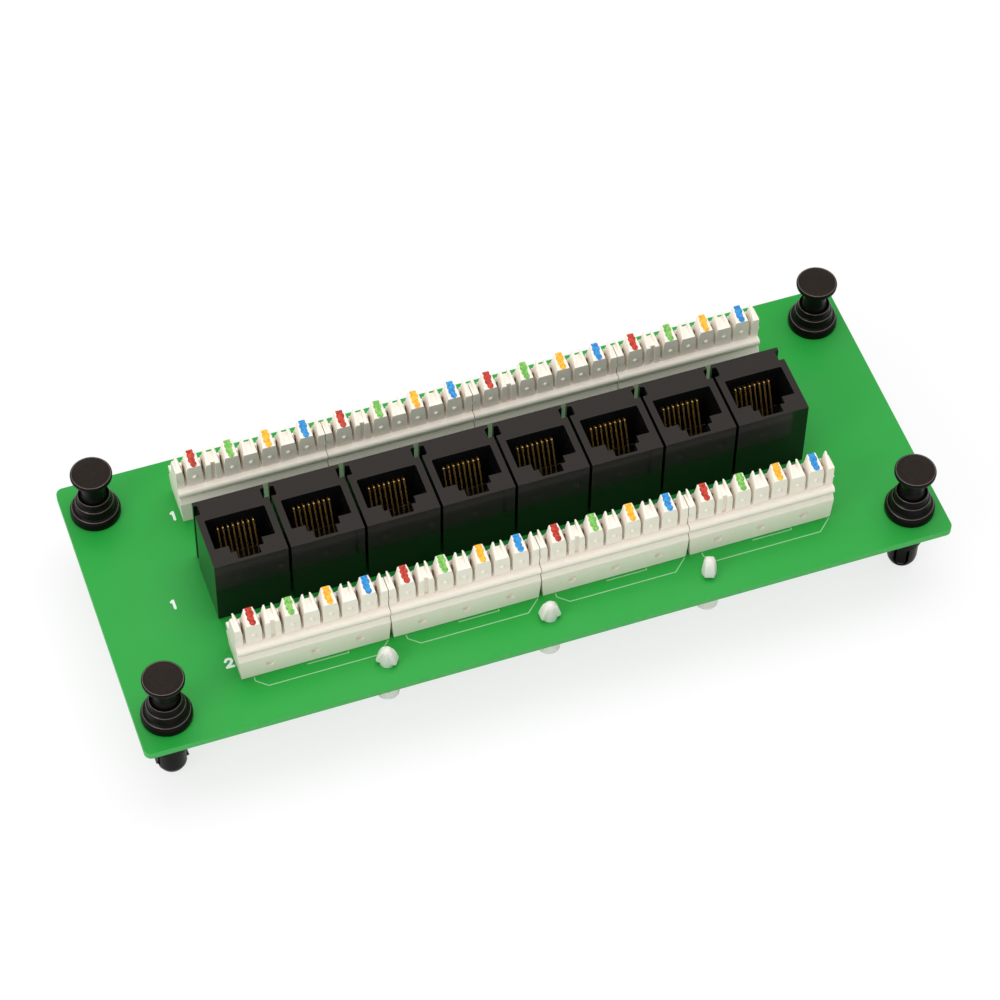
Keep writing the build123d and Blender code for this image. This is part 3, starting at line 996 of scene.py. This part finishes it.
class MODULE_OT_board_supports(bpy.types.Operator):
    """Turn the nylon board supports and give their tips two barbs"""
    bl_idname = "module.board_supports"
    bl_label = "Board supports"

    def execute(self, context):
        shape = settings("support_shape")
        low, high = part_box("board_support_1")
        profile = raised(high.z, (
            (0, 0), (0.45, -0.05), (0.85, -0.28), (1.08, -0.65), (1.22, -1.3), (1.4, -2.6),
            (1.5, -3.7)))
        profile += raised(BOARD_UNDERSIDE, ((1.5, 0), (2.9, 0), (2.9, -1), (2.3, -1)))
        profile += raised(low.z, ((2.3, 0), (0, 0)))
        support = turned("support", profile, steps=48)
        half = shape.barb_thickness / 2
        barb = block("barb", (-2.05 * MM, -half, BOARD_TOP + 0.5 * MM),
                     (2.05 * MM, half, BOARD_TOP + 1.1 * MM))
        # Each section's height over the board and width, and its share of the thickness
        sections = ((2.2, 3.5, 0.96), (3.1, 2.75, 0.88), (3.8, 1.9, 0.75))
        grow_up(barb, [(BOARD_TOP + height * MM, width * MM, -share * half, share * half)
                       for height, width, share in sections])
        soften(barb, 0.4 * MM, segments=4)
        combine(support, barb, "UNION")
        soften(support, shape.edge, angle=30)
        nylon = finish("support nylon", shape.colour, shaded(shape.colour, 0.92),
                       roughness=0.38, grain=0.3, bump=0.08, patch=1.2)
        with_inputs(nylon.node_tree.nodes["Principled BSDF"],
                    {"Subsurface Weight": 0.35, "Subsurface Scale": 1.5 * MM})
        turns = (-32, 0, 70)
        for (node, x, y), turn in zip(numbered_nodes("board_support", SUPPORT_NUMBERS), turns):
            copy = duplicate(support, f"turned_{node}", (x, y, 0), math.radians(turn))
            finish_piece(copy, [nylon], [node])
        bpy.data.objects.remove(support)
        return {"FINISHED"}


class MODULE_OT_stage(bpy.types.Operator):
    """Set the pale floor, the soft lights and the camera"""
    bl_idname = "module.stage"
    bl_label = "Stage"

    def show_background(self, tree, output, lit, shown, share=1.0):
        """Let camera, glossy and transmission rays see a share of another shader.

        These rays see the background, and all others meet the shader that is lit.
        """
        nodes = tree.nodes
        links = tree.links
        path = nodes.new("ShaderNodeLightPath")
        factor = path.outputs["Is Camera Ray"]
        for kind in ("Is Glossy Ray", "Is Transmission Ray"):
            larger = nodes.new("ShaderNodeMath")
            larger.operation = "MAXIMUM"
            links.new(factor, larger.inputs[0])
            links.new(path.outputs[kind], larger.inputs[1])
            factor = larger.outputs[0]
        part = with_inputs(nodes.new("ShaderNodeMath"), {1: share})
        part.operation = "MULTIPLY"
        mix = nodes.new("ShaderNodeMixShader")
        links.new(factor, part.inputs[0])
        links.new(part.outputs[0], mix.inputs["Fac"])
        links.new(lit.outputs[0], mix.inputs[1])
        links.new(shown.outputs[0], mix.inputs[2])
        links.new(mix.outputs["Shader"], nodes[output].inputs["Surface"])

    def lamp(self, name, place, size, power, target=(0, 0, 0.02)):
        deselect_all()
        bpy.ops.object.light_add(type="AREA", location=place)
        lamp = bpy.context.object
        lamp.name = name
        lamp.data.shape = "RECTANGLE"
        lamp.data.size, lamp.data.size_y = size
        lamp.data.energy = power
        aim = Vector(target) - Vector(place)
        lamp.rotation_euler = aim.to_track_quat("-Z", "Y").to_euler()

    def execute(self, context):
        look = settings("stage_look")
        scene = bpy.context.scene
        scene.view_settings.view_transform = "Standard"

        floor = added("floor", bpy.ops.mesh.primitive_plane_add, size=8,
                      location=(0, 0, -0.2 * MM))
        material = bpy.data.materials.new("floor")
        material.use_nodes = True
        nodes = material.node_tree.nodes
        shader = with_inputs(nodes["Principled BSDF"],
                             {"Base Color": (*look.floor_colour, 1), "Roughness": 0.9})
        glow = nodes.new("ShaderNodeEmission")
        self.show_background(material.node_tree, "Material Output", shader, glow,
                             share=look.floor_glow)
        dress(floor.data, material)

        world = bpy.data.worlds.new("studio")
        scene.world = world
        world.use_nodes = True
        nodes = world.node_tree.nodes
        white = (1, 1, 1, 1)
        sky = with_inputs(nodes["Background"], {"Color": white, "Strength": look.sky})
        backdrop = with_inputs(nodes.new("ShaderNodeBackground"), {"Color": white, "Strength": 1})
        self.show_background(world.node_tree, "World Output", sky, backdrop)

        self.lamp("overhead_lamp", (0.05, 0.15, 0.75), (0.7, 0.5), look.overhead_power)
        self.lamp("left_lamp", (-0.7, -0.3, 0.5), (0.4, 0.4), look.left_power)

        deselect_all()
        bpy.ops.object.camera_add(location=look.camera_place, rotation=look.camera_turn)
        camera = bpy.context.object
        camera.name = "photo_camera"
        camera.data.lens = look.lens
        camera.data.sensor_width = 36
        camera.data.sensor_fit = "HORIZONTAL"
        camera.data.clip_start = 0.01
        scene.camera = camera
        return {"FINISHED"}


class MODULE_PT_panel(bpy.types.Panel):
    """Buttons for the module's pieces"""
    bl_label = "Socket module"
    bl_idname = "MODULE_PT_panel"
    bl_space_type = "VIEW_3D"
    bl_region_type = "UI"
    bl_category = "Socket module"

    def draw(self, context):
        for name in SETTINGS:
            box = self.layout.box()
            group = settings(name)
            for entry in group.__annotations__:
                box.prop(group, entry)
        for operator in OPERATORS:
            self.layout.operator(operator.bl_idname)


SETTINGS = {
    "board_look": BoardLook,
    "block_shape": BlockShape,
    "socket_shape": SocketShape,
    "latch_shape": LatchShape,
    "support_shape": SupportShape,
    "stage_look": StageLook,
}
OPERATORS = (
    MODULE_OT_circuit_board,
    MODULE_OT_board_print,
    MODULE_OT_solder_joints,
    MODULE_OT_socket_housings,
    MODULE_OT_contacts,
    MODULE_OT_block_bases,
    MODULE_OT_block_caps,
    MODULE_OT_pair_marks,
    MODULE_OT_latch_bodies,
    MODULE_OT_latch_pins,
    MODULE_OT_board_supports,
    MODULE_OT_stage,
)


def register():
    for group in SETTINGS.values():
        bpy.utils.register_class(group)
    for name, group in SETTINGS.items():
        setattr(bpy.types.Scene, name, bpy.props.PointerProperty(type=group))
    for operator in OPERATORS:
        bpy.utils.register_class(operator)
    bpy.utils.register_class(MODULE_PT_panel)


def unregister():
    bpy.utils.unregister_class(MODULE_PT_panel)
    for operator in reversed(OPERATORS):
        bpy.utils.unregister_class(operator)
    for name in SETTINGS:
        delattr(bpy.types.Scene, name)
    for group in SETTINGS.values():
        bpy.utils.unregister_class(group)


def main():
    register()
    bpy.ops.module.circuit_board()
    bpy.ops.module.board_print()
    bpy.ops.module.solder_joints()
    bpy.ops.module.socket_housings()
    bpy.ops.module.contacts()
    bpy.ops.module.block_bases()
    bpy.ops.module.block_caps()
    bpy.ops.module.pair_marks()
    bpy.ops.module.latch_bodies()
    bpy.ops.module.latch_pins()
    bpy.ops.module.board_supports()
    bpy.ops.module.stage()


if __name__ == "__main__":
    main()
